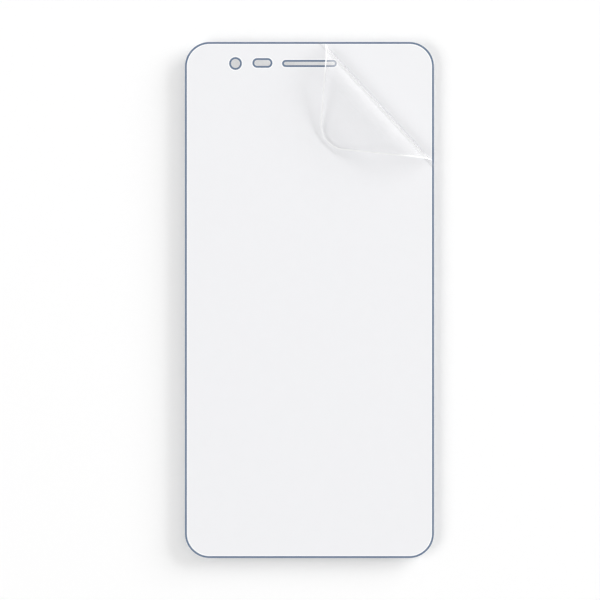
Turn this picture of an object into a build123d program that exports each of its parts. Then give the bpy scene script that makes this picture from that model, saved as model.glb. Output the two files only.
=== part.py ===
from build123d import *
import math
import os

# A phone screen protector lying on its adhesive face: the protector film, and on it the clear cover film,
# whose upper right corner is peeled and curls back over the sheet.
# Lengths in millimetres, angles in degrees. +X is to the right, +Y to the earpiece end and +Z up.

# The outline that both films are cut to
film_width = 68.5
film_length = 142.0
corner_radius = 6.75

# Film thicknesses
protector_thickness = 0.2
cover_thickness = 0.1

# Cut-outs, each placed by its centre: how far left of the middle and how far below the top edge
camera_radius = 1.25
camera_left = 20.35
camera_down = 5.9
sensor_length = 4.5
sensor_width = 1.65
sensor_left = 12.95
sensor_down = 5.75
earpiece_length = 14.05
earpiece_width = 0.95
earpiece_down = 5.9

# The peeled corner: the line where the cover film leaves the protector, and the bends that follow it
peel_angle = 47.5
peel_slot_gap = 0.3
tight_radius = 1.15
tight_turn = 140
loose_radius = 6.5
tip_lift = 0.4

# Turn between the sections that a bend is lofted through, and how closely the flap's slope is found
section_step = 8
turn_tolerance = 1e-7

# Directions in the sheet: along the peel line towards the right edge, and square to it towards the corner
slope = math.radians(peel_angle)
along = Vector(math.cos(slope), -math.sin(slope))
outward = Vector(math.sin(slope), math.cos(slope))
up = Vector(0, 0, 1)

# The peel line passes just clear of the earpiece slot's end. Its foot is the point nearest to the corner.
corner = Vector(film_width / 2, film_length / 2)
slot_end = Vector((earpiece_length - earpiece_width) / 2, film_length / 2 - earpiece_down)
peel_depth = (corner - slot_end).dot(outward) - earpiece_width / 2 - peel_slot_gap
cover_middle = protector_thickness + cover_thickness / 2
peel_foot = corner - outward * peel_depth + up * cover_middle

# Lengths of film from the peel line to the end of the tight bend and to the tip of the rounded corner
tight_end = math.radians(tight_turn)
tight_length = tight_radius * tight_end
tip_reach = peel_depth - corner_radius * (math.sin(slope) + math.cos(slope) - 1)


def film_outline():
    """The cut shape of both films: a rounded rectangle with the three cut-outs."""
    top = film_length / 2
    camera = Pos(-camera_left, top - camera_down) * Circle(camera_radius)
    sensor = Pos(-sensor_left, top - sensor_down) * SlotOverall(sensor_length, sensor_width)
    earpiece = Pos(0, top - earpiece_down) * SlotOverall(earpiece_length, earpiece_width)
    return RectangleRounded(film_width, film_length, corner_radius) - camera - sensor - earpiece


def protector_film():
    return extrude(film_outline(), protector_thickness)


def bend_point(length, final_turn):
    """Offset, height and turn of the cover film's mid-surface, a length of film past the peel line."""
    loose_length = loose_radius * (final_turn - tight_end)
    tight = min(length / tight_radius, tight_end)
    offset = tight_radius * math.sin(tight)
    height = tight_radius * (1 - math.cos(tight))
    turn = tight
    if length > tight_length:
        turn = min(tight_end + (length - tight_length) / loose_radius, final_turn)
        offset += loose_radius * (math.sin(turn) - math.sin(tight_end))
        height += loose_radius * (math.cos(tight_end) - math.cos(turn))
    straight = max(length - tight_length - loose_length, 0)
    offset += straight * math.cos(turn)
    height += straight * math.sin(turn)
    return offset, height, turn


def solve_final_turn():
    """The turn at which the flap's tip comes down to its lift above the sheet, found by halving."""
    low = math.pi
    high = 1.5 * math.pi
    while high - low > math.radians(turn_tolerance):
        middle = (low + high) / 2
        tip_height = bend_point(tip_reach, middle)[1]
        if tip_height > tip_lift + cover_thickness:
            low = middle
        else:
            high = middle
    return low


def bend_frame(length, final_turn):
    """The middle of the film's section there, with the film's running direction and the section's width.

    The film isn't stretched, so the section keeps the width that the flat corner has at that distance.
    """
    offset, height, turn = bend_point(length, final_turn)
    remaining = peel_depth - length
    to_top_edge = remaining / math.tan(slope)
    to_side_edge = remaining * math.tan(slope)
    middle = peel_foot + outward * offset + up * height + along * ((to_side_edge - to_top_edge) / 2)
    running = outward * math.cos(turn) + up * math.sin(turn)
    return middle, running, to_top_edge + to_side_edge


def bend(start, end, turn, final_turn):
    """A curved band of film between two lengths, lofted through sections square to the film."""
    steps = math.ceil(math.degrees(turn) / section_step)
    sections = []
    for step in range(steps + 1):
        middle, running, width = bend_frame(start + (end - start) * step / steps, final_turn)
        sections.append(Plane(middle, x_dir=along, z_dir=running) * Rectangle(width, cover_thickness))
    return loft(sections)


def flap(start, final_turn):
    """The flat rest of the corner, from the end of the bends to the rounded tip."""
    middle, running, width = bend_frame(start, final_turn)
    remaining = peel_depth - start
    tip = remaining / math.tan(slope) - width / 2
    plane = Plane(middle, x_dir=along, z_dir=along.cross(running))
    shape = make_face(Polyline((-width / 2, 0), (tip, remaining), (width / 2, 0), close=True))
    shape = fillet(shape.vertices().sort_by(Axis.Y)[-1], corner_radius)
    return extrude(plane * shape, cover_thickness / 2, both=True)


def cover_film():
    beyond = Rectangle(2 * film_length, film_length, align=(Align.CENTER, Align.MIN))
    peeled = Pos(peel_foot.X, peel_foot.Y) * Rot(0, 0, -peel_angle) * beyond
    laid = Pos(0, 0, protector_thickness) * extrude(film_outline() - peeled, cover_thickness)
    final_turn = solve_final_turn()
    flap_start = tight_length + loose_radius * (final_turn - tight_end)
    tight_bend = bend(0, tight_length, tight_end, final_turn)
    loose_bend = bend(tight_length, flap_start, final_turn - tight_end, final_turn)
    return laid + tight_bend + loose_bend + flap(flap_start, final_turn)


os.makedirs("parts", exist_ok=True)
export_step(protector_film(), "parts/protector_film.step")
export_step(cover_film(), "parts/cover_film.step")
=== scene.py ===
import math
from dataclasses import dataclass

import bmesh
import bpy
from mathutils import Matrix, Vector


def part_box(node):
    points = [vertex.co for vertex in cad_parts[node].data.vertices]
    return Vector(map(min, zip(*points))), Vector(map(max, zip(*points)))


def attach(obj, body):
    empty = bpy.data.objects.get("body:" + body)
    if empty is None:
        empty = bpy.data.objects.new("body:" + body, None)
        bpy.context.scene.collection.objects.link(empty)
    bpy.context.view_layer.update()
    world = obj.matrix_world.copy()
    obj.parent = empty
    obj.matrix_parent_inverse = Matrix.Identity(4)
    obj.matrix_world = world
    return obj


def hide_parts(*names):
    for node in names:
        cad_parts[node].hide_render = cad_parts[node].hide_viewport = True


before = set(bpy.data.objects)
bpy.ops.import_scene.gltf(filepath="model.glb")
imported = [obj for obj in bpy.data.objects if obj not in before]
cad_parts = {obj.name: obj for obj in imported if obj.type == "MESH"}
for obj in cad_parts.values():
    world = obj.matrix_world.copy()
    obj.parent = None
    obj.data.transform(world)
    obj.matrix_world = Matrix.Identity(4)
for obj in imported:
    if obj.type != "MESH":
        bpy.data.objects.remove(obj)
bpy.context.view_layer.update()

bl_info = {
    "name": "Screen Protector Film",
    "version": (1, 0, 0),
    "blender": (4, 5, 0),
    "location": "View3D > Sidebar > Film",
    "description": "A phone screen protector and its cover film, with one corner peeled back",
    "category": "Object",
}

UP = Vector((0.0, 0.0, 1.0))
WHITE = (1.0, 1.0, 1.0)
# Corners of the ring of edges along the outline and along each cut-out
RING_CORNERS = 96
# The side of a ring that its film lies on: inside the outline, outside a cut-out
INSIDE = -1
OUTSIDE = 1
# The rectangle of plain film is inset from the outline by this share of the corner radius
CELL_INSET = 0.45
# Smooth shading stops at edges sharper than this
SHARP_ANGLE = math.radians(40)
# Points closer than this count as the same, in metres
SAME_PLACE = 1e-6
# Edges shorter than this are slivers left by cuts, in metres
SLIVER = 1e-5
# The bends' whole turn is looked for between these, and found as closely as the third
LEAST_TURN = math.radians(180)
MOST_TURN = math.radians(270)
TURN_TOLERANCE = 1e-6
# Place of the plain film's material on a flat film. Those of the bands along its edges follow it.
PLAIN = 0
# Places of the cover film's materials
COVER_FREE, COVER_RIM, COVER_UNDERSIDE, LAID_FACE, LAID_LINE, LAID_GLINT = range(6)
# What its plain film, rim, rest of the line and glint become where it is laid, and where it is free. The
# rim and the glint are painted highlights.
LAID_BANDS = (LAID_FACE, LAID_LINE, LAID_LINE, LAID_GLINT)
FREE_BANDS = (COVER_FREE, COVER_RIM, COVER_FREE, COVER_FREE)
# Attributes of the cover film's points, from 0 to 1: the top of its bend and the side below that
# The top of the bend is painted as a highlight, the side below it as a shade
CREST = "bend_crest"
UNDERSIDE = "bend_underside"
# How fast a film's reflection rises towards a grazing view
GRAZING_POWER = 5
# Places of sockets that share their names: a Mix node's for colours and a Mix Shader's
MIX_SHARE, MIX_FIRST, MIX_SECOND, MIX_RESULT = 0, 6, 7, 2
SHADER_SHARE, SHADER_FIRST, SHADER_SECOND = 0, 1, 2


def length_property(name, description, metres):
    return bpy.props.FloatProperty(
        name=name, description=description, default=metres, min=0.0, precision=5, unit="LENGTH"
    )


def angle_property(name, description, degrees):
    return bpy.props.FloatProperty(
        name=name, description=description, default=math.radians(degrees), subtype="ANGLE"
    )


def power_property(name, description, watts):
    return bpy.props.FloatProperty(
        name=name, description=description, default=watts, min=0.0, unit="POWER"
    )


def share_property(name, description, default):
    return bpy.props.FloatProperty(
        name=name, description=description, default=default, min=0.0, max=1.0, subtype="FACTOR"
    )


def level_property(name, description, default):
    return bpy.props.FloatProperty(name=name, description=description, default=default, min=0.0)


def colour_property(name, description, default):
    return bpy.props.FloatVectorProperty(
        name=name, description=description, default=default, min=0.0, max=1.0, subtype="COLOR"
    )


class OutlineSizes(bpy.types.PropertyGroup):
    """The cut shape that both films share, placed from the middle of the sheet and its top edge."""

    corner_radius: length_property("Corner radius", "Radius of the sheet's corners", 0.00675)
    camera_radius: length_property("Camera radius", "Radius of the camera hole", 0.00125)
    camera_left: length_property("Camera left", "Camera hole, left of the middle", 0.02035)
    camera_down: length_property("Camera down", "Camera hole, below the top edge", 0.0059)
    sensor_length: length_property("Sensor length", "Length of the sensor slot", 0.0045)
    sensor_width: length_property("Sensor width", "Width of the sensor slot", 0.00165)
    sensor_left: length_property("Sensor left", "Sensor slot, left of the middle", 0.01295)
    sensor_down: length_property("Sensor down", "Sensor slot, below the top edge", 0.00575)
    earpiece_length: length_property("Earpiece length", "Length of the earpiece slot", 0.01405)
    earpiece_width: length_property("Earpiece width", "Width of the earpiece slot", 0.00095)
    earpiece_down: length_property("Earpiece down", "Earpiece slot, below the top edge", 0.0059)


class PeelSizes(bpy.types.PropertyGroup):
    """The peeled corner of the cover film."""

    angle: angle_property("Angle", "Between the peel line and the top edge", 47.5)
    slot_gap: length_property("Slot gap", "Between the earpiece slot's end and the peel line", 0.0003)
    tight_radius: length_property("Tight radius", "Radius of the first bend", 0.00115)
    tight_turn: angle_property("Tight turn", "How far the first bend turns", 140)
    loose_radius: length_property("Loose radius", "Radius of the second bend", 0.0065)
    tip_lift: length_property("Tip lift", "Height of the flap's tip over the sheet", 0.0004)
    crease_step: angle_property("Crease step", "Turn at each of the fine creases of a bend", 4)
    # These fade the bend's painted shade and painted highlight in and out along the film
    bend_edge: length_property("Bend edge", "Film over which each side of the bend fades in", 0.0006)
    end_fade: length_property("End fade", "Film at the edges over which the underside fades", 0.0026)
    crest_fall: length_property("Crest fall", "Film before the flap over which it clears again", 0.0045)
    thickness: length_property("Thickness", "Of the cover film with the air below it", 0.0001)
    film_gap: length_property("Film gap", "Air between the cover film and the protector", 0.00001)


class FilmLook(bpy.types.PropertyGroup):
    """Colours and finishes of the films."""

    line_width: length_property("Line width", "Width of the line along the edges", 0.0005)
    # The rim is the peeled film's cut edge, painted near white as a highlight
    rim_width: length_property("Rim width", "Width of the pale rim of the peeled film", 0.0003)
    # The glint is a painted highlight beside the line
    glint_width: length_property("Glint width", "Width of the pale band inside the line", 0.0003)
    film_colour: colour_property("Film", "Colour of the laid films", (0.882, 0.884, 0.901))
    face_gloss: level_property("Face gloss", "Strength of the laid films' reflections", 0.0)
    line_colour: colour_property("Line", "Slate-blue line along the edges", (0.145, 0.2, 0.295))
    # Painted highlight colour of the glint
    glint_colour: colour_property("Glint", "Pale band inside the line", (0.99, 0.99, 0.995))
    cover_colour: colour_property("Cover", "Colour of the peeled film", (0.82, 0.82, 0.83))
    # Whiter on top of the bend, a painted highlight, and dark below it, a painted shade
    crest_highlight_colour: colour_property("Crest", "Colour on top of its bend", (0.97, 0.97, 0.975))
    under_shade_colour: colour_property("Underside", "Colour of the bend's underside", (0.4, 0.4, 0.41))
    # Painted highlight colour of the rim
    rim_highlight_colour: colour_property("Rim", "Colour of the peeled film's rim", (0.99, 0.99, 0.99))
    free_opacity: share_property("Free opacity", "How much each face of the free film hides", 0.04)
    # More opaque there too, so that the painted highlight and shade show
    crest_opacity: share_property("Crest opacity", "The same on top of the bend", 0.15)
    under_opacity: share_property("Underside opacity", "The same below that", 0.22)
    grazing_opacity: share_property("Grazing opacity", "How much more a face hides edge on", 0.6)
    film_ior: level_property("Film index", "Refractive index of the peeled film", 1.57)
    film_gloss: level_property("Film gloss", "Strength of its reflections", 1.0)
    under_ior: level_property("Underside index", "Refractive index of the bend's underside", 1.45)
    under_gloss: level_property("Underside gloss", "Strength of its reflections", 0.1)


class StageSizes(bpy.types.PropertyGroup):
    """Floor, light and camera."""

    floor_side: length_property("Floor side", "Side of the square floor", 6.0)
    floor_drop: length_property("Floor drop", "How far the floor lies below the film", 0.0021)
    floor_glow: share_property("Floor glow", "Share of the floor that is white in any shadow", 0.22)
    # Painted light: the floor under the film glows whiter, in place of light through the clear film
    painted_under_glow: share_property("Under glow", "The same below the film, which lets light pass", 0.53)
    under_fade: length_property("Under fade", "Floor over which that sets in at the edge", 0.004)
    view_width: length_property("View width", "Width of the picture at the film", 0.16515)
    view_left: length_property("View left", "How far left of the middle the camera stands", 0.0026)
    view_height: length_property("View height", "Height of the camera", 0.6)
    sky_level: level_property("Sky level", "Even light from all round", 0.36)
    lamp_width: length_property("Lamp width", "Width of each softbox", 2.4)
    lamp_distance: length_property("Lamp distance", "Distance of each softbox from the film", 3.0)
    key_height: length_property("Key height", "Height of the softbox on the right", 1.1)
    key_power: power_property("Key power", "Power of the softbox on the right", 93)
    key_lean: angle_property("Key lean", "Its angle from straight above", 73)
    key_turn: angle_property("Key turn", "Its angle from +Y towards +X", 60)
    top_height: length_property("Top height", "Height of the softbox above", 3.0)
    top_power: power_property("Top power", "Power of the softbox above", 16.5)
    top_lean: angle_property("Top lean", "Its angle from straight above", 40)
    top_turn: angle_property("Top turn", "Its angle from +Y towards +X", 60)
    fill_height: length_property("Fill height", "Height of the softbox on the left", 1.7)
    fill_power: power_property("Fill power", "Power of the softbox on the left", 44.5)
    fill_lean: angle_property("Fill lean", "Its angle from straight above", 52)
    fill_turn: angle_property("Fill turn", "Its angle from +Y towards +X", -105)


class FilmSettings(bpy.types.PropertyGroup):
    """Everything a user would change."""

    outline: bpy.props.PointerProperty(type=OutlineSizes)
    peel: bpy.props.PointerProperty(type=PeelSizes)
    look: bpy.props.PointerProperty(type=FilmLook)
    stage: bpy.props.PointerProperty(type=StageSizes)


class Wire:
    """An output of a shader node. Arithmetic on it adds Math nodes."""

    def __init__(self, finish, socket):
        self.finish = finish
        self.socket = socket

    def math(self, operation, other=0.0):
        inputs = dict(enumerate((self, other)))
        return self.finish.wire("ShaderNodeMath", {"operation": operation}, inputs)

    def __add__(self, other):
        return self.math("ADD", other)

    __radd__ = __add__

    def __rsub__(self, other):
        return self * -1.0 + other

    def __mul__(self, other):
        return self.math("MULTIPLY", other)

    __rmul__ = __mul__

    def __pow__(self, other):
        return self.math("POWER", other)


class Finish:
    """The node tree of a material or of the world while it is being made."""

    def __init__(self, owner):
        owner.use_nodes = True
        self.owner = owner
        self.tree = owner.node_tree
        self.tree.nodes.clear()

    def node(self, kind, settings, inputs):
        """Adds a node, sets it up, then fills its sockets with values or wires."""
        made = self.tree.nodes.new(kind)
        for name, value in settings.items():
            setattr(made, name, value)
        for name, value in inputs.items():
            if isinstance(value, Wire):
                self.tree.links.new(value.socket, made.inputs[name])
            else:
                made.inputs[name].default_value = value
        return made

    def wire(self, kind, settings, inputs, output=0):
        return Wire(self, self.node(kind, settings, inputs).outputs[output])

    def noise(self, scale, detail):
        """Soft noise from 0 to 1 in the piece's own place, with scale in patches a metre."""
        place = self.wire("ShaderNodeTexCoord", {}, {}, "Object")
        inputs = {"Vector": place, "Scale": scale, "Detail": detail}
        return self.wire("ShaderNodeTexNoise", {}, inputs, "Fac")

    def blend(self, share, first, second):
        """A colour between two colours."""
        first, second = (
            colour if isinstance(colour, Wire) else (*colour, 1.0) for colour in (first, second)
        )
        inputs = {MIX_SHARE: share, MIX_FIRST: first, MIX_SECOND: second}
        return self.wire("ShaderNodeMix", {"data_type": "RGBA"}, inputs, MIX_RESULT)

    def tint(self, share, colour, darkest, palest):
        """A colour that varies between two multiples of itself."""
        return self.blend(share, shade(colour, darkest), shade(colour, palest))

    def bump(self, height, depth):
        return self.wire("ShaderNodeBump", {}, {"Height": height, "Distance": depth}, "Normal")

    def surface(self, **sockets):
        """A Principled surface on the output, its sockets named with underscores for spaces."""
        inputs = {name.replace("_", " "): value for name, value in sockets.items()}
        shader = self.wire("ShaderNodeBsdfPrincipled", {}, inputs)
        self.node("ShaderNodeOutputMaterial", {}, {"Surface": shader})
        return self.owner


def clamp(value):
    return max(min(value, 1.0), 0.0)


def between(share, low, high):
    """The value that lies at a share of the way from low to high."""
    return low + (high - low) * share


def shade(colour, factor):
    return tuple(min(channel * factor, 1.0) for channel in colour)


def film_face(look):
    """Laid film: pale and matt, with a faint cloudiness and a fine anti-glare grain."""
    finish = Finish(bpy.data.materials.new("protector_face"))
    cloud = finish.noise(scale=260.0, detail=4.0)
    grain = finish.noise(scale=9000.0, detail=1.0)
    return finish.surface(
        Base_Color=finish.tint(cloud, look.film_colour, darkest=0.992, palest=1.008),
        Roughness=between(cloud, low=0.4, high=0.5),
        Normal=finish.bump(grain, depth=0.000004),
        Specular_IOR_Level=look.face_gloss,
    )


def edge_line(look):
    """The slate-blue line: an even ink that is a little thinner in places."""
    finish = Finish(bpy.data.materials.new("edge_line"))
    ink = finish.noise(scale=1800.0, detail=3.0)
    return finish.surface(
        Base_Color=finish.tint(ink, look.line_colour, darkest=0.93, palest=1.07),
        Roughness=between(ink, low=0.42, high=0.54),
        Normal=finish.bump(ink, depth=0.000004),
        Specular_IOR_Level=look.face_gloss,
    )


def edge_glint(look):
    """Painted highlight: a pale band beside the line, where the cut edge would light up the film."""
    finish = Finish(bpy.data.materials.new("edge_glint"))
    cloud = finish.noise(scale=700.0, detail=2.0)
    return finish.surface(
        Base_Color=finish.tint(cloud, look.glint_colour, darkest=0.99, palest=1.0),
        Roughness=between(cloud, low=0.32, high=0.4),
        Normal=finish.bump(cloud, depth=0.000004),
        Specular_IOR_Level=look.face_gloss,
    )


def peeled_film(look, name, ior, gloss):
    """Peeled cover film: clear with a hint of ripple, a painted highlight on its bend and painted shade
    below.
    """
    finish = Finish(bpy.data.materials.new(name))
    crest = finish.wire("ShaderNodeAttribute", {"attribute_name": CREST}, {}, "Fac")
    underside = finish.wire("ShaderNodeAttribute", {"attribute_name": UNDERSIDE}, {}, "Fac")
    facing = finish.wire("ShaderNodeLayerWeight", {}, {}, "Facing")
    # Painted highlight on top of the bend, painted shade on its underside
    colour = finish.blend(crest, look.cover_colour, look.crest_highlight_colour)
    colour = finish.blend(underside, colour, look.under_shade_colour)
    alpha = between(crest, look.free_opacity, look.crest_opacity)
    alpha = alpha + (look.under_opacity - look.free_opacity) * underside
    alpha = alpha + look.grazing_opacity * facing**GRAZING_POWER
    ripple = finish.noise(scale=120.0, detail=2.0)
    cloud = finish.noise(scale=420.0, detail=3.0)
    return finish.surface(
        Base_Color=colour,
        Roughness=between(cloud, low=0.44, high=0.52),
        Normal=finish.bump(ripple, depth=0.00002),
        Alpha=alpha,
        IOR=ior,
        Specular_IOR_Level=gloss,
    )


def cover_rim(look):
    """The cover film's cut edge where it is peeled free, painted near white as a highlight."""
    finish = Finish(bpy.data.materials.new("cover_rim"))
    nick = finish.noise(scale=2600.0, detail=2.0)
    return finish.surface(
        Base_Color=finish.tint(nick, look.rim_highlight_colour, darkest=0.98, palest=1.0),
        Roughness=between(nick, low=0.4, high=0.5),
        Normal=finish.bump(nick, depth=0.000001),
    )


def cover_finishes(look):
    """The cover film's materials in the order of their places. Laid, it looks as the protector does."""
    free = peeled_film(look, "cover_free", look.film_ior, look.film_gloss)
    underside = peeled_film(look, "cover_underside", look.under_ior, look.under_gloss)
    laid = [bpy.data.materials[name] for name in ("protector_face", "edge_line", "edge_glint")]
    return free, cover_rim(look), underside, *laid


def floor_finish(stage, width, length):
    """Plain white floor that keeps part of the shadow on it, and painted light under the clear film."""
    finish = Finish(bpy.data.materials.new("floor"))
    place = finish.wire("ShaderNodeTexCoord", {}, {}, "Object")
    sides = finish.node("ShaderNodeSeparateXYZ", {}, {"Vector": place})
    # Painted light under the film, fading in from its edges
    under = 1.0
    for axis, half in (("X", width / 2), ("Y", length / 2)):
        inward = half - Wire(finish, sides.outputs[axis]).math("ABSOLUTE")
        fade = inward * (1 / stage.under_fade)
        under = under * fade.math("MINIMUM", 1.0).math("MAXIMUM", 0.0)
    white = between(under, stage.floor_glow, stage.painted_under_glow)
    share = finish.wire("ShaderNodeLightPath", {}, {}, "Is Camera Ray") * white
    speck = finish.tint(finish.noise(scale=900.0, detail=2.0), WHITE, darkest=0.985, palest=1.0)
    matt = finish.wire("ShaderNodeBsdfDiffuse", {}, {"Color": speck})
    glow = finish.wire("ShaderNodeEmission", {}, {"Color": (*WHITE, 1.0), "Strength": 1.0})
    inputs = {SHADER_SHARE: share, SHADER_FIRST: matt, SHADER_SECOND: glow}
    mixed = finish.wire("ShaderNodeMixShader", {}, inputs)
    finish.node("ShaderNodeOutputMaterial", {}, {"Surface": mixed})
    return finish.owner


def sky_finish(world, level):
    """Even light from all round, which looks white behind the object and in its gloss."""
    finish = Finish(world)
    path = finish.node("ShaderNodeLightPath", {}, {})
    camera, glossy, transmission = (
        Wire(finish, path.outputs[f"Is {ray} Ray"]) for ray in ("Camera", "Glossy", "Transmission")
    )
    shown = (camera + glossy + transmission).math("MINIMUM", 1.0)
    strength = between(shown, level, 1.0)
    sky = finish.wire("ShaderNodeBackground", {}, {"Color": (*WHITE, 1.0), "Strength": strength})
    finish.node("ShaderNodeOutputWorld", {}, {"Surface": sky})


@dataclass
class Shape:
    """The film's outline or a cut-out: a rounded rectangle, slot or circle with film on one side."""

    centre: Vector
    half_width: float
    half_length: float
    radius: float
    film_side: int

    def quarters(self, verts):
        """Sorts points round it by the corner that they belong to."""
        groups = {}
        for vert in verts:
            offset = vert.co - self.centre
            corner = math.copysign(1, offset.x), math.copysign(1, offset.y)
            groups.setdefault(corner, []).append(vert)
        return groups.items()

    def arc_centre(self, right, top):
        """Centre of a corner's arc."""
        x = right * (self.half_width - self.radius)
        y = top * (self.half_length - self.radius)
        return self.centre + Vector((x, y, 0))

    def edge_ring(self, bm):
        """A ring of edges along it: a circle of its corner radius with the quarters moved apart."""
        half_step = math.pi / RING_CORNERS
        turned = Matrix.Translation(self.centre) @ Matrix.Rotation(half_step, 4, "Z")
        radius = self.radius / math.cos(half_step)
        circle = bmesh.ops.create_circle(bm, segments=RING_CORNERS, radius=radius, matrix=turned)
        for (right, top), quarter in self.quarters(circle["verts"]):
            bmesh.ops.translate(bm, verts=quarter, vec=self.arc_centre(right, top) - self.centre)
        return list(dict.fromkeys(edge for vert in circle["verts"] for edge in vert.link_edges))

    def add_bands(self, bm, widths):
        """Bands of faces along it, each with a material, and the ring of edges that they end in."""
        ring = self.edge_ring(bm)
        radius = self.radius
        for band, width in enumerate(widths, start=PLAIN + 1):
            ring, verts, faces = extrude_ring(bm, ring)
            wider = (radius + self.film_side * width) / radius
            radius *= wider
            for (right, top), quarter in self.quarters(verts):
                place = Matrix.Translation(-self.arc_centre(right, top))
                bmesh.ops.scale(bm, verts=quarter, vec=(wider, wider, 1.0), space=place)
            for face in faces:
                face.material_index = band
        return ring

    def fan_to(self, bm, ring, low, high):
        """Plain film from the ring to a rectangle: each quarter runs to one of its corners."""
        ring, verts, faces = extrude_ring(bm, ring)
        for face in faces:
            face.material_index = PLAIN
        for (right, top), quarter in self.quarters(verts):
            corner = (high.x if right > 0 else low.x, high.y if top > 0 else low.y, 0)
            bmesh.ops.pointmerge(bm, verts=quarter, merge_co=corner)


def extrude_ring(bm, ring):
    """A second ring on top of a ring, with faces between them: its edges, points and faces."""
    made = bmesh.ops.extrude_edge_only(bm, edges=ring)["geom"]
    kinds = (bmesh.types.BMEdge, bmesh.types.BMVert, bmesh.types.BMFace)
    edges, verts, faces = ([item for item in made if isinstance(item, kind)] for kind in kinds)
    return [edge for edge in edges if all(vert in verts for vert in edge.verts)], verts, faces


def film_shapes(outline, width, length):
    """The outline of the films and their three cut-outs, from left to right."""
    top = length / 2
    camera = outline.camera_radius
    sensor = outline.sensor_width / 2
    earpiece = outline.earpiece_width / 2
    camera_place = Vector((-outline.camera_left, top - outline.camera_down, 0))
    sensor_place = Vector((-outline.sensor_left, top - outline.sensor_down, 0))
    earpiece_place = Vector((0, top - outline.earpiece_down, 0))
    return Shape(Vector(), width / 2, top, outline.corner_radius, INSIDE), (
        Shape(camera_place, camera, camera, camera, OUTSIDE),
        Shape(sensor_place, outline.sensor_length / 2, sensor, sensor, OUTSIDE),
        Shape(earpiece_place, outline.earpiece_length / 2, earpiece, earpiece, OUTSIDE),
    )


def within(items, low, high):
    """The edges or faces that lie in a rectangle."""
    return [
        item
        for item in items
        if all(low.x - SAME_PLACE < vert.co.x < high.x + SAME_PLACE for vert in item.verts)
        and all(low.y - SAME_PLACE < vert.co.y < high.y + SAME_PLACE for vert in item.verts)
    ]


def cut(bm, faces, point, normal):
    """Cuts faces along a plane."""
    edges = list(dict.fromkeys(edge for face in faces for edge in face.edges))
    verts = list(dict.fromkeys(vert for edge in edges for vert in edge.verts))
    parts = verts + edges + faces
    bmesh.ops.bisect_plane(bm, geom=parts, dist=SAME_PLACE, plane_co=point, plane_no=normal)


def lay_film(bm, outline, cutouts, bands, bottom, thickness):
    """A flat film with three cut-outs, as a closed slab with bands of other materials along its edges.

    The plain film inside the outline's bands is a rectangle, cut into cells. Each cut-out lies in a
    cell of the upper row, which is filled from the cut-out's bands to the cell's corners.
    """
    inset = outline.radius * CELL_INSET
    high = Vector((outline.half_width - inset, outline.half_length - inset, 0))
    outline.fan_to(bm, outline.add_bands(bm, bands), -high, high)
    bmesh.ops.edgeloop_fill(bm, edges=within(bm.edges, -high, high))
    row = cutouts[0].centre.y * 2 - high.y
    cut(bm, bm.faces[:], Vector((0, row, 0)), Vector((0, 1, 0)))
    borders = [-high.x]
    for left, right in zip(cutouts, cutouts[1:]):
        border = (left.centre.x + left.half_width + right.centre.x - right.half_width) / 2
        cut(bm, bm.faces[:], Vector((border, 0, 0)), Vector((1, 0, 0)))
        borders.append(border)
    borders.append(high.x)
    cells = within(bm.faces, Vector((-high.x, row, 0)), high)
    bmesh.ops.delete(bm, geom=cells, context="FACES_ONLY")
    for cutout, left, right in zip(cutouts, borders, borders[1:]):
        ring = cutout.add_bands(bm, bands)
        cutout.fan_to(bm, ring, Vector((left, row, 0)), Vector((right, high.y, 0)))
    bmesh.ops.remove_doubles(bm, verts=bm.verts[:], dist=SAME_PLACE)
    raised = bmesh.ops.extrude_face_region(bm, geom=bm.faces[:])["geom"]
    upper = [item for item in raised if isinstance(item, bmesh.types.BMVert)]
    bmesh.ops.translate(bm, verts=upper, vec=UP * thickness)
    bmesh.ops.translate(bm, verts=bm.verts[:], vec=UP * bottom)
    bmesh.ops.recalc_face_normals(bm, faces=bm.faces[:])


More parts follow.
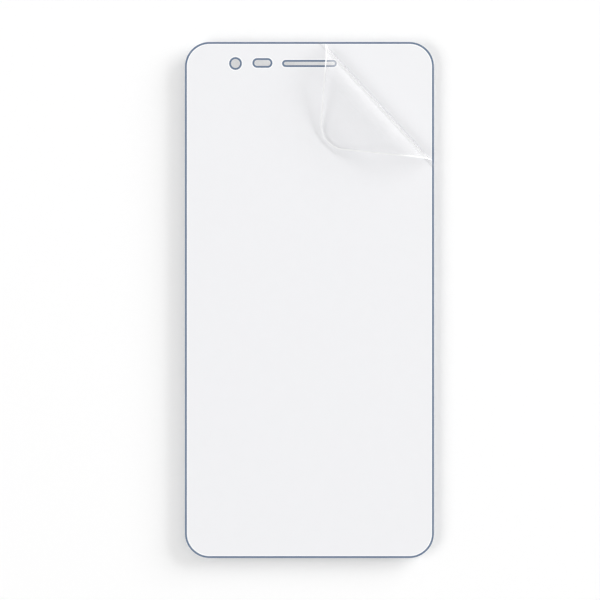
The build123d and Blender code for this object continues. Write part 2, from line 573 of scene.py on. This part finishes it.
class Peel:
    """Where the cover film leaves the protector and how it bends after that.

    Distances are lengths of film from the peel line towards the corner, before the film is bent.
    """

    def __init__(self, sizes, outline, width, length, bottom, thickness):
        slope = sizes.angle
        middle = bottom + thickness / 2
        slot_radius = outline.earpiece_width / 2
        slot_x = outline.earpiece_length / 2 - slot_radius
        slot_y = length / 2 - outline.earpiece_down
        slot_end = Vector((slot_x, slot_y, middle))
        self.sizes = sizes
        self.along = Vector((math.cos(slope), -math.sin(slope), 0.0))
        self.outward = Vector((math.sin(slope), math.cos(slope), 0.0))
        self.corner = Vector((width / 2, length / 2, middle))
        depth = (self.corner - slot_end).dot(self.outward) - slot_radius - sizes.slot_gap
        self.foot = self.corner - self.outward * depth
        # Distances at which the film stands upright, ends in its rounded tip and starts to be flat again
        self.upright = sizes.tight_radius * math.pi / 2
        self.tip = depth - outline.corner_radius * (math.sin(slope) + math.cos(slope) - 1)
        self.creases, self.flap = self.find_creases(sizes.tip_lift + thickness)

    def tip_height(self, turn):
        """Height of the flap's tip over the laid film if the bends turn the film this far."""
        sizes = self.sizes
        tight = sizes.tight_turn
        straight = self.tip - sizes.tight_radius * tight - sizes.loose_radius * (turn - tight)
        tight_rise = sizes.tight_radius * (1 - math.cos(tight))
        loose_rise = sizes.loose_radius * (math.cos(tight) - math.cos(turn))
        return tight_rise + loose_rise + straight * math.sin(turn)

    def final_turn(self, height):
        """The turn that brings the tip down to a height, found by halving."""
        low = LEAST_TURN
        high = MOST_TURN
        while high - low > TURN_TOLERANCE:
            middle = (low + high) / 2
            if self.tip_height(middle) > height:
                low = middle
            else:
                high = middle
        return low

    def find_creases(self, height):
        """Distance and turn of each fine crease of both bends, and the distance of the flap's start."""
        sizes = self.sizes
        loose_turn = self.final_turn(height) - sizes.tight_turn
        start = 0.0
        creases = []
        for radius, turn in ((sizes.tight_radius, sizes.tight_turn), (sizes.loose_radius, loose_turn)):
            count = math.ceil(turn / sizes.crease_step)
            for step in range(count):
                creases.append((start + radius * turn * (step + 0.5) / count, turn / count))
            start += radius * turn
        return creases, start

    def distance(self, point):
        return (point - self.foot).dot(self.outward)

    def face_distance(self, face):
        return self.distance(face.calc_center_median())

    def cut_film(self, bm):
        """Cuts the film wherever it creases or changes its finish."""
        for distance in (0.0, *(distance for distance, turn in self.creases), self.flap):
            cut(bm, bm.faces[:], self.foot + self.outward * distance, self.outward)
        for side in (Vector((1, 0, 0)), Vector((0, 1, 0))):
            peeled = [face for face in bm.faces if self.face_distance(face) > 0]
            cut(bm, peeled, self.corner - side * self.sizes.end_fade, side)
        bmesh.ops.dissolve_degenerate(bm, dist=SLIVER, edges=bm.edges[:])

    def paint(self, bm):
        """Gives each face the finish of laid film, of the bend's underside or of free film."""
        for face in bm.faces:
            distance = self.face_distance(face)
            if distance < 0:
                face.material_index = LAID_BANDS[face.material_index]
            elif distance < self.upright:
                face.material_index = COVER_UNDERSIDE
            else:
                face.material_index = FREE_BANDS[face.material_index]

    def mark_bend(self, bm):
        """Notes at each point its share of the underside's painted shade and of the crest's painted
        highlight.
        """
        sizes = self.sizes
        underside = bm.verts.layers.float.new(UNDERSIDE)
        crest = bm.verts.layers.float.new(CREST)
        for vert in bm.verts:
            distance = self.distance(vert.co)
            rise = (distance - self.upright) / sizes.bend_edge
            below = clamp(min(distance / sizes.bend_edge, 1.0 - rise))
            # The underside's painted shade fades out near the film's edges
            inside = clamp(min((self.corner - vert.co).xy) / sizes.end_fade)
            vert[underside] = below * inside
            fall = (self.flap - distance) / sizes.crest_fall
            vert[crest] = clamp(min(rise, fall))

    def bend(self, bm):
        """Folds the film at each crease, from the outermost one inwards.

        Points on a crease turn halfway.
        """
        places = [(vert, self.distance(vert.co)) for vert in bm.verts]
        for crease, turn in reversed(self.creases):
            hinge = self.foot + self.outward * crease
            whole = Matrix.Rotation(turn, 3, self.along)
            half = Matrix.Rotation(turn / 2, 3, self.along)
            beyond = [vert for vert, distance in places if distance > crease + SAME_PLACE]
            on = [vert for vert, distance in places if abs(distance - crease) <= SAME_PLACE]
            bmesh.ops.rotate(bm, verts=beyond, cent=hinge, matrix=whole)
            bmesh.ops.rotate(bm, verts=on, cent=hinge, matrix=half)


def finish_film(bm, name, node, materials):
    """Makes the film an object that stands for its node, with the given materials, and hides the node.
    """
    mesh = bpy.data.meshes.new(name)
    bm.to_mesh(mesh)
    bm.free()
    mesh.shade_smooth()
    mesh.set_sharp_from_angle(angle=SHARP_ANGLE)
    for material in materials:
        mesh.materials.append(material)
    piece = bpy.data.objects.new(name, mesh)
    bpy.context.scene.collection.objects.link(piece)
    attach(piece, "root")
    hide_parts(node)
    return piece


def flat_size():
    """Width and length that both films are cut to, and the protector's thickness."""
    low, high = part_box("protector_film")
    return high.x - low.x, high.y - low.y, high.z - low.z


class FILM_OT_protector(bpy.types.Operator):
    """Makes the protector film with the line along its edges"""

    bl_idname = "film.protector"
    bl_label = "Protector Film"

    def execute(self, context):
        settings = context.scene.film
        look = settings.look
        width, length, thickness = flat_size()
        outline, cutouts = film_shapes(settings.outline, width, length)
        bands = (look.line_width, look.glint_width)
        bm = bmesh.new()
        lay_film(bm, outline, cutouts, bands, bottom=0.0, thickness=thickness)
        materials = (film_face(look), edge_line(look), edge_glint(look))
        piece = finish_film(bm, "protector_sheet", "protector_film", materials)
        return {"FINISHED"}


class FILM_OT_cover(bpy.types.Operator):
    """Makes the cover film with its peeled corner"""

    bl_idname = "film.cover"
    bl_label = "Cover Film"

    def execute(self, context):
        settings = context.scene.film
        look = settings.look
        sizes = settings.peel
        width, length, bottom = flat_size()
        bottom += sizes.film_gap
        thickness = sizes.thickness - sizes.film_gap
        outline, cutouts = film_shapes(settings.outline, width, length)
        bands = (look.rim_width, look.line_width - look.rim_width, look.glint_width)
        bm = bmesh.new()
        lay_film(bm, outline, cutouts, bands, bottom, thickness)
        peel = Peel(sizes, settings.outline, width, length, bottom, thickness)
        peel.cut_film(bm)
        peel.paint(bm)
        peel.mark_bend(bm)
        peel.bend(bm)
        piece = finish_film(bm, "cover_sheet", "cover_film", cover_finishes(look))
        return {"FINISHED"}


class FILM_OT_stage(bpy.types.Operator):
    """Makes the floor, the light and the camera"""

    bl_idname = "film.stage"
    bl_label = "Stage"

    def execute(self, context):
        scene = context.scene
        stage = scene.film.stage
        self.make_floor(scene, stage)
        scene.world = bpy.data.worlds.new("sky")
        sky_finish(scene.world, stage.sky_level)
        for softbox in (
            ("key", stage.key_height, stage.key_power, stage.key_lean, stage.key_turn),
            ("top", stage.top_height, stage.top_power, stage.top_lean, stage.top_turn),
            ("fill", stage.fill_height, stage.fill_power, stage.fill_lean, stage.fill_turn),
        ):
            self.make_softbox(scene, stage, *softbox)
        self.make_camera(scene, stage)
        scene.view_settings.view_transform = "Standard"
        return {"FINISHED"}

    def make_floor(self, scene, stage):
        """A square floor a little below the film."""
        bm = bmesh.new()
        bmesh.ops.create_grid(bm, x_segments=1, y_segments=1, size=stage.floor_side / 2)
        bmesh.ops.translate(bm, verts=bm.verts[:], vec=-UP * stage.floor_drop)
        mesh = bpy.data.meshes.new("floor")
        bm.to_mesh(mesh)
        bm.free()
        width, length = flat_size()[:2]
        mesh.materials.append(floor_finish(stage, width, length))
        floor = bpy.data.objects.new("floor", mesh)
        scene.collection.objects.link(floor)

    def make_softbox(self, scene, stage, name, height, power, lean, turn):
        """A softbox that faces the middle of the film."""
        lamp = bpy.data.lights.new(name, "AREA")
        lamp.energy = power
        lamp.shape = "RECTANGLE"
        lamp.size = stage.lamp_width
        lamp.size_y = height
        softbox = bpy.data.objects.new(name, lamp)
        sideways = math.sin(lean)
        aim = Vector((sideways * math.sin(turn), sideways * math.cos(turn), math.cos(lean)))
        softbox.location = aim * stage.lamp_distance
        softbox.rotation_euler = aim.to_track_quat("Z", "Y").to_euler()
        scene.collection.objects.link(softbox)

    def make_camera(self, scene, stage):
        """A camera that looks straight down."""
        lens = bpy.data.cameras.new("camera")
        lens.type = "ORTHO"
        lens.ortho_scale = stage.view_width
        camera = bpy.data.objects.new("camera", lens)
        camera.location = (-stage.view_left, 0.0, stage.view_height)
        scene.collection.objects.link(camera)
        scene.camera = camera


class FILM_PT_sidebar(bpy.types.Panel):
    """Lists the pieces of the screen protector"""

    bl_label = "Screen Protector Film"
    bl_space_type = "VIEW_3D"
    bl_region_type = "UI"
    bl_category = "Film"

    def draw(self, context):
        for operator in OPERATORS:
            self.layout.operator(operator.bl_idname)


OPERATORS = (FILM_OT_protector, FILM_OT_cover, FILM_OT_stage)
CLASSES = (OutlineSizes, PeelSizes, FilmLook, StageSizes, FilmSettings, *OPERATORS, FILM_PT_sidebar)


def register():
    for item in CLASSES:
        bpy.utils.register_class(item)
    bpy.types.Scene.film = bpy.props.PointerProperty(type=FilmSettings)


def unregister():
    del bpy.types.Scene.film
    for item in reversed(CLASSES):
        bpy.utils.unregister_class(item)


def main():
    register()
    bpy.ops.film.protector()
    bpy.ops.film.cover()
    bpy.ops.film.stage()


if __name__ == "__main__":
    main()
